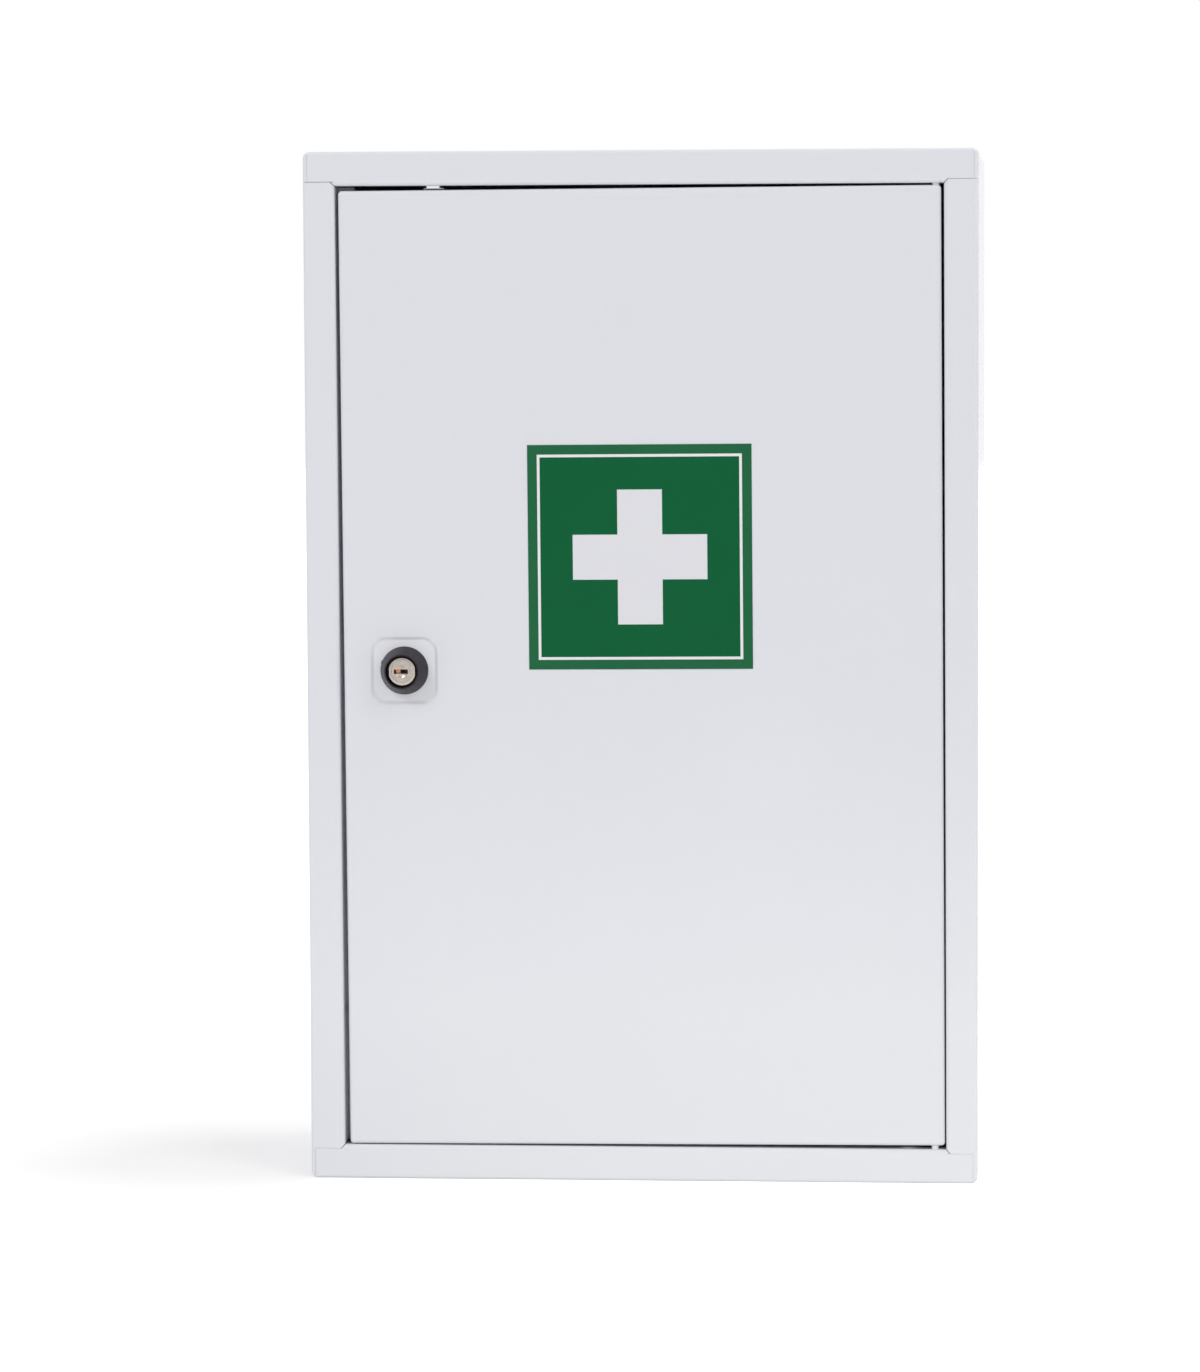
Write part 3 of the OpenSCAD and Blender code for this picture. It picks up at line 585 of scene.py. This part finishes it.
def printed_film(name, inner, reach, outer, rough, **constants):
    """Vinyl film printed with one pair of tints up to a reach from its middle, and another beyond."""
    material, tree, output = new_material(name)
    shader = principled(tree, output, IOR=film_ior, **constants)
    place = tree.nodes.new("ShaderNodeTexCoord").outputs["Object"]
    ink = spread(tree, noise(tree, place, ink_scale, detail=3.0), 0.0, 1.0)
    near = mixed(tree, ink, *inner)
    far = mixed(tree, ink, *outer)
    colour = mixed(tree, beyond(tree, sign_middle, reach), near, far)
    tree.links.new(colour, shader.inputs["Base Color"])
    tree.links.new(spread(tree, noise(tree, place, film_scale), *rough), shader.inputs["Roughness"])
    bumped(tree, shader, noise(tree, place, peel_size, detail=1.0), peel_height)
    return material


sign_green = printed_film("sign_green", field_greens, sign_margin, margin_greens, green_rough,
                          Specular_IOR_Level=green_specular)
dress(nodes["sign_field"], sign_green)
sign_white = printed_film("sign_white", cross_whites, sign_line_from, line_whites, white_rough)
dress(nodes["sign_marks"], sign_white)

# ---- Rosette ----
# A cone of black plastic round the barrel, turned smooth, that seats in the door's recess. Its rim
# is bevelled, a step inside it takes the barrel's head, and a trace of flash is left on its foot.
rosette_foot = 0.0014
rosette_rim_r = 0.0077
rosette_open_r = 0.0071
rosette_bore_r = 0.0057
rosette_bevel = 0.0004
rosette_soft = 0.00009
rosette_soft_steps = 3
rosette_edge = 20
rosette_seat = 0.0002
barrel_face_y = -0.0772
head_rear_y = -0.0740
part_line = 0.00005
bore_short = 0.001
same_place = 1e-6
merge_gap = 1e-7
flash_height = 0.0039
flash_reach = 0.0006
flash_proud = 0.0003
plastic_tints = ((0.010, 0.006, 0.011, 1), (0.016, 0.011, 0.017, 1))
plastic_tint_scale = 220.0
plastic_specular = 0.22
ring_rough = (0.32, 0.44)
ring_scale = 900.0
ring_wobble = 0.6
ring_height = 0.000006


def turned(name, axis, profile, sides=96):
    """A round piece with its axis along Y, made from a cylinder by drawing out its front face.

    The profile is a list of (radius, y), from the rear to the front and, for a piece with a bore, on
    down the bore. Its first two points are the cylinder.
    """
    (radius, rear), (radius, front) = profile[:2]
    piece = add_bar(name, (axis.x, (rear + front) / 2, axis.z), 2 * radius, rear - front, "Y", sides)
    for next_radius, y in profile[2:]:
        choose(piece, "FACE", lambda face: len(face.verts) == sides and faces_front(face))
        bpy.ops.mesh.extrude_region_move(TRANSFORM_OT_translate={"value": (0, y - front, 0)})
        scale = next_radius / radius
        bpy.ops.transform.resize(value=(scale, 1, scale), center_override=(axis.x, y, axis.z))
        radius, front = next_radius, y
    return piece


def from_axis(point):
    """How far a point lies from the lock's axis."""
    return math.hypot(point.x - lock_middle.x, point.z - lock_middle.z)


def bored(piece, axis, rear, sides=96):
    """Opens the front face that was drawn down the bore to meet the rear one."""
    inner = min(from_axis(v.co) for v in piece.data.vertices)
    outer = max(from_axis(v.co) for v in piece.data.vertices if abs(v.co.y - rear) < same_place)
    choose(piece, "FACE", lambda face: len(face.verts) == sides and face.normal.y > straight_on)
    bpy.ops.mesh.extrude_region_move()
    bpy.ops.transform.resize(value=(inner / outer, 1, inner / outer),
                             center_override=(axis.x, rear, axis.z))
    choose(piece, "FACE", lambda face: len(face.verts) == sides)
    bpy.ops.mesh.delete(type="FACE")
    choose(piece, "EDGE", lambda edge: edge.is_boundary)
    bpy.ops.mesh.bridge_edge_loops()
    choose(piece, "FACE", lambda face: True)
    bpy.ops.mesh.remove_doubles(threshold=merge_gap)
    bpy.ops.mesh.normals_make_consistent(inside=False)


rosette_rear = lock_high.y
rosette_front = lock_low.y
rosette_foot_r = (lock_high.x - lock_low.x) / 2
rosette = turned("rosette_cone", lock_middle, [
    (rosette_foot_r, rosette_rear),
    (rosette_foot_r, rosette_rear - rosette_foot),
    (rosette_rim_r, rosette_front + rosette_bevel),
    (rosette_rim_r - rosette_bevel, rosette_front),
    (rosette_open_r, rosette_front),
    (rosette_open_r, head_rear_y + part_line),
    (rosette_bore_r, head_rear_y + part_line),
    (rosette_bore_r, rosette_rear - bore_short),
])
bored(rosette, lock_middle, rosette_rear)
choose(rosette, "EDGE", lambda edge: sharp(edge, rosette_edge)
       and middle_of(edge).y < rosette_rear - rosette_seat)
bpy.ops.mesh.bevel(offset=rosette_soft, segments=rosette_soft_steps, affect="EDGES")
flash_turn = flash_height / rosette_foot_r
flash_x = lock_middle.x - rosette_foot_r * math.cos(flash_turn)
flash_z = lock_middle.z + rosette_foot_r * math.sin(flash_turn)
choose(rosette, "VERT", lambda vert: vert.co.y < rosette_rear - rosette_foot / 2
       and math.hypot(vert.co.x - flash_x, vert.co.z - flash_z) < flash_reach)
bpy.ops.transform.translate(value=(-flash_proud, 0, flash_proud / 2))
smooth_finish(rosette)

rosette_black, tree, output = new_material("rosette_plastic")
shader = principled(tree, output, IOR=plastic_ior, Specular_IOR_Level=plastic_specular)
place = tree.nodes.new("ShaderNodeTexCoord").outputs["Object"]
centred = tree.nodes.new("ShaderNodeMapping")
centred.vector_type = "POINT"
centred.inputs["Location"].default_value = -lock_middle
tree.links.new(place, centred.inputs["Vector"])
rings = tree.nodes.new("ShaderNodeTexWave")
rings.wave_type = "RINGS"
rings.rings_direction = "Y"
rings.inputs["Scale"].default_value = ring_scale
rings.inputs["Distortion"].default_value = ring_wobble
tree.links.new(centred.outputs[0], rings.inputs["Vector"])
tone = spread(tree, noise(tree, place, plastic_tint_scale, detail=4.0), 0.0, 1.0)
tree.links.new(mixed(tree, tone, *plastic_tints), shader.inputs["Base Color"])
rough = spread(tree, rings.outputs["Fac"], *ring_rough, 0.0, 1.0)
tree.links.new(rough, shader.inputs["Roughness"])
bumped(tree, shader, rings.outputs["Fac"], ring_height)
dress(rosette, rosette_black)
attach(rosette, "door")
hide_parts("lock_rosette")

# ---- Barrel ----
# The lock's die-cast barrel, nickel plated with a fine satin finish. Its head has two flats and a
# rounded edge, and its threaded body, with flats too, goes through the door and takes the nut.
head_r = 0.0064
head_flats = 0.0122
head_edge = 0.00042
head_edge_steps = 4
head_land_r = 0.0056
square_edge = 60
body_r = 0.0056
body_root_r = 0.0053
body_flats = 0.0100
thread_pitch = 0.0010
thread_end_y = -0.066
flat_cut_reach = 0.009
flat_cut_past = 0.001
plug_seat_r = 0.00485
plug_seat_y = -0.07485
plug_bore_r = 0.00405
nickel_tints = ((0.330, 0.295, 0.268, 1), (0.390, 0.350, 0.320, 1))
nickel_stain = (420.0, 4.0)
nickel_rough = (1500.0, 3.0, 0.22, 0.34)
nickel_grain = (2600.0, 3.0, 0.000010)

barrel_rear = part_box("lock_barrel")[1].y
profile = [(body_r, barrel_rear), (body_r, barrel_rear - thread_pitch / 4)]
y = barrel_rear - thread_pitch / 4
while y > thread_end_y:
    profile.append((body_root_r, y - thread_pitch / 4))
    profile.append((body_root_r, y - thread_pitch / 2))
    profile.append((body_r, y - 3 * thread_pitch / 4))
    profile.append((body_r, y - thread_pitch))
    y -= thread_pitch
profile += [
    (body_r, head_rear_y), (head_r, head_rear_y), (head_r, barrel_face_y),
    (plug_seat_r, barrel_face_y), (plug_seat_r, plug_seat_y), (plug_bore_r, plug_seat_y),
    (plug_bore_r, barrel_rear - bore_short),
]
barrel = turned("barrel_shell", lock_middle, profile)
bored(barrel, lock_middle, barrel_rear)
for side in (-1, 1):
    for flats, front, rear in ((head_flats, barrel_face_y - flat_cut_past, head_rear_y),
                               (body_flats, head_rear_y, barrel_rear + flat_cut_past)):
        near = lock_middle.x + side * flats / 2
        far = lock_middle.x + side * flat_cut_reach
        low = (min(near, far), front, lock_middle.z - flat_cut_reach)
        high = (max(near, far), rear, lock_middle.z + flat_cut_reach)
        cut_away(barrel, add_block("flat_cut", low, high))
choose(barrel, "EDGE", lambda edge: sharp(edge, square_edge)
       and max(v.co.y for v in edge.verts) < barrel_face_y + same_place
       and from_axis(middle_of(edge)) > head_land_r)
bpy.ops.mesh.bevel(offset=head_edge, segments=head_edge_steps, affect="EDGES")
smooth_finish(barrel)


def grained(name, tints, stain, rough, grain=None, **constants):
    """A material between two close tints, with a fine grain.

    Stain is the scale and detail of the noise that mixes the tints. Rough adds its two limits to
    those of the roughness, and grain adds its height to those of the bump.
    """
    material, tree, output = new_material(name)
    shader = principled(tree, output, **constants)
    place = tree.nodes.new("ShaderNodeTexCoord").outputs["Object"]
    share = spread(tree, noise(tree, place, *stain), 0.0, 1.0)
    tree.links.new(mixed(tree, share, *tints), shader.inputs["Base Color"])
    polish = spread(tree, noise(tree, place, *rough[:2]), *rough[2:])
    tree.links.new(polish, shader.inputs["Roughness"])
    if grain:
        bumped(tree, shader, noise(tree, place, *grain[:2]), grain[2])
    return material


lock_nickel = grained("lock_nickel", nickel_tints, nickel_stain, nickel_rough, nickel_grain,
                      Metallic=1.0)
dress(barrel, lock_nickel)
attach(barrel, "door")
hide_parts("lock_barrel")

# ---- Plug ----
# The plug turns in the barrel. Its face has a shallow dish that guides the key into the flat keyway,
# and a tick stamped at each end of it. Its square tail carries the cam.
plug_r = 0.0040
plug_face_r = 0.0048
plug_face_y = -0.0769
plug_shoulder_y = -0.0749
plug_rear_y = -0.0535
tail_side = 0.0050
tail_overlap = 0.0005
tail_round = 0.0004
tail_round_steps = 3
keyway_w = 0.0063
keyway_h = 0.0020
keyway_shift = -0.0005
keyway_rear_y = -0.0589
keyway_past = 0.001
dish_r = 0.00285
dish_wall = 0.00085
dish_depth = 0.0004
dish_sides = 64
plug_bend = 15
tick_reach = 0.0041
tick_size = (0.00040, 0.0010, 0.0014)
wafer_slot = (0.0071, 0.0007, 0.0033)
wafer_first_y = -0.0737
wafer_pitch = 0.0028
wafer_t = 0.0006
wafer_count = 4

plug_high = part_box("lock_plug")[1]
plug = turned("key_plug_core", lock_middle, [
    (plug_r, plug_rear_y), (plug_r, plug_shoulder_y), (plug_face_r, plug_shoulder_y),
    (plug_face_r, plug_face_y),
])
tail = add_block(
    "plug_tail",
    (lock_middle.x - tail_side / 2, plug_rear_y - tail_overlap, lock_middle.z - tail_side / 2),
    (lock_middle.x + tail_side / 2, plug_high.y, lock_middle.z + tail_side / 2))
choose(tail, "EDGE", lambda edge: depth_of(edge) > tail_overlap)
bpy.ops.mesh.bevel(offset=tail_round, segments=tail_round_steps, affect="EDGES")
apply_modifier(plug, "BOOLEAN", operation="UNION", object=tail, solver="EXACT")
bpy.data.objects.remove(tail)
keyway_x = lock_middle.x + keyway_shift
nothing_selected()
bpy.ops.mesh.primitive_cone_add(
    vertices=dish_sides, radius1=dish_r - dish_wall, radius2=dish_r + dish_wall, depth=2 * dish_depth,
    location=(keyway_x, plug_face_y, lock_middle.z), rotation=(math.pi / 2, 0, 0))
cut_away(plug, named("dish_cut"))
cut_away(plug, add_block(
    "keyway_cut",
    (keyway_x - keyway_w / 2, plug_face_y - keyway_past, lock_middle.z - keyway_h / 2),
    (keyway_x + keyway_w / 2, keyway_rear_y, lock_middle.z + keyway_h / 2)))
slot_half = Vector(wafer_slot) / 2
for i in range(wafer_count):
    slot_y = wafer_first_y + i * wafer_pitch + wafer_t / 2
    slot_middle = Vector((lock_middle.x, slot_y, lock_middle.z))
    cut_away(plug, add_block("wafer_cut", slot_middle - slot_half, slot_middle + slot_half))
tick_half = Vector(tick_size) / 2
for side in (-1, 1):
    tick_middle = Vector((keyway_x + side * tick_reach, plug_face_y, lock_middle.z))
    cut_away(plug, add_block("tick_cut", tick_middle - tick_half, tick_middle + tick_half))
smooth_finish(plug, plug_bend)
dress(plug, lock_nickel)
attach(plug, "key_plug")
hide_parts("lock_plug")

# ---- Tumblers ----
# Thin stamped wafers of copper red metal slide in the plug, each with a window for the key and
# rounded front edges. The first of them shows in the keyway, and their copper is darkened with
# painted shade for the keyway's depth.
wafer_l = 0.0070
wafer_h = 0.0032
window_w = 0.0041
window_h = 0.0021
window_strip = 0.0005
window_past = 0.001
wafer_round = 0.00045
wafer_round_steps = 4
# The copper tints are darkened as painted shade of the deep keyway.
copper_painted_shade_tints = ((0.42, 0.150, 0.080, 1), (0.54, 0.230, 0.135, 1))
copper_stain = (900.0, 4.0)
copper_rough = (1500.0, 2.0, 0.30, 0.42)

wafer_half = Vector((wafer_l / 2, 0, wafer_h / 2))
wafer_front = Vector((lock_middle.x, wafer_first_y, lock_middle.z))
window_right = wafer_l / 2 - window_strip
wafer = add_block("wafer_tumblers", wafer_front - wafer_half,
                  wafer_front + wafer_half + Vector((0, wafer_t, 0)))
cut_away(wafer, add_block(
    "window_cut",
    wafer_front + Vector((window_right - window_w, -window_past, -window_h / 2)),
    wafer_front + Vector((window_right, wafer_t + window_past, window_h / 2))))
choose(wafer, "EDGE", lambda edge: sharp(edge, square_edge)
       and max(v.co.y for v in edge.verts) < wafer_first_y + same_place
       and abs(edge.verts[0].co.x - edge.verts[1].co.x) < same_place
       and middle_of(edge).x < wafer_front.x + window_right - window_strip)
bpy.ops.mesh.bevel(offset=wafer_round, segments=wafer_round_steps, affect="EDGES")
smooth_finish(wafer)


def repeated(piece, count, step):
    """Copies the piece along a step, each copy with its own mesh, and joins them into one."""
    copies = [piece]
    for i in range(1, count):
        only(piece)
        bpy.ops.object.duplicate()
        copy = bpy.context.object
        copy.data.transform(Matrix.Translation(i * Vector(step)))
        copies.append(copy)
    nothing_selected()
    for copy in copies:
        copy.select_set(True)
    bpy.context.view_layer.objects.active = piece
    bpy.ops.object.join()


repeated(wafer, wafer_count, (0, wafer_pitch, 0))
tumbler_copper = grained("tumbler_copper", copper_painted_shade_tints, copper_stain, copper_rough, Metallic=1.0)
dress(wafer, tumbler_copper)
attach(wafer, "key_plug")
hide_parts("tumblers")

# ---- Tumbler springs ----
# A small coil of plated steel wire lies on each tumbler. It is wound round a centre line across the
# plug, and its two ends are cut square.
coil_wire = 0.00016
coil_d = 0.0009
coil_l = 0.0030
coil_gap = 0.0001
coil_turns = 7
coil_steps = 14
wire_sides = 8
wire_bend = 50
zinc_tints = ((0.40, 0.41, 0.43, 1), (0.52, 0.53, 0.55, 1))
zinc_stain = (260.0, 5.0)
zinc_rough = (600.0, 4.0, 0.28, 0.46)
zinc_grain = (900.0, 3.0, 0.000008)

nothing_selected()
coil_z = lock_middle.z + wafer_h / 2 + coil_d / 2 + coil_gap
coil_y = wafer_first_y + wafer_t / 2
wire_place = (lock_middle.x - coil_l / 2 + coil_wire / 2, coil_y, coil_z + (coil_d - coil_wire) / 2)
bpy.ops.mesh.primitive_circle_add(
    vertices=wire_sides, radius=coil_wire / 2, location=wire_place, rotation=(math.pi / 2, 0, 0))
coil = named("wafer_springs")
centre_line = Vector((0, coil_y, coil_z))
coil.data.transform(Matrix.Translation(-centre_line))
apply_modifier(coil, "SCREW", axis="X", angle=2 * math.pi, iterations=coil_turns, steps=coil_steps,
               render_steps=coil_steps, screw_offset=(coil_l - coil_wire) / coil_turns,
               use_merge_vertices=True, merge_threshold=merge_gap)
coil.data.transform(Matrix.Translation(centre_line))
choose(coil, "EDGE", lambda edge: edge.is_boundary)
bpy.ops.mesh.edge_face_add()
choose(coil, "FACE", lambda face: True)
bpy.ops.mesh.normals_make_consistent(inside=False)
smooth_finish(coil, wire_bend)
repeated(coil, wafer_count, (0, wafer_pitch, 0))
zinc_steel = grained("zinc_steel", zinc_tints, zinc_stain, zinc_rough, zinc_grain, Metallic=1.0)
dress(coil, zinc_steel)
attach(coil, "key_plug")
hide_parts("tumbler_springs")

# ---- Cam, screw, washers and nut ----
# Zinc-plated steel behind the door, with the faint cloudy grain of the plating. The nut clamps the
# barrel in the door, and the cam is screwed to the plug's tail.
for name in ("lock_cam", "cam_screw", "cam_washer", "lock_washer", "lock_nut"):
    dress(nodes[name], zinc_steel)

# ---- Buffers ----
# Soft grey pads on the stop and a white one under the top rail keep the shut door from rattling.
# They are stuck on.
rubber_tints = ((0.26, 0.27, 0.28, 1), (0.32, 0.33, 0.34, 1))
rubber_bloom = (300.0, 4.0)
rubber_rough = (700.0, 3.0, 0.62, 0.80)
rubber_grain = (1200.0, 3.0, 0.00001)

buffer_rubber = grained("buffer_rubber", rubber_tints, rubber_bloom, rubber_rough, rubber_grain,
                        IOR=plastic_ior)
for name in ("upper_door_buffer", "lower_door_buffer"):
    dress(nodes[name], buffer_rubber)
dress(nodes["rail_buffer"], sign_white)
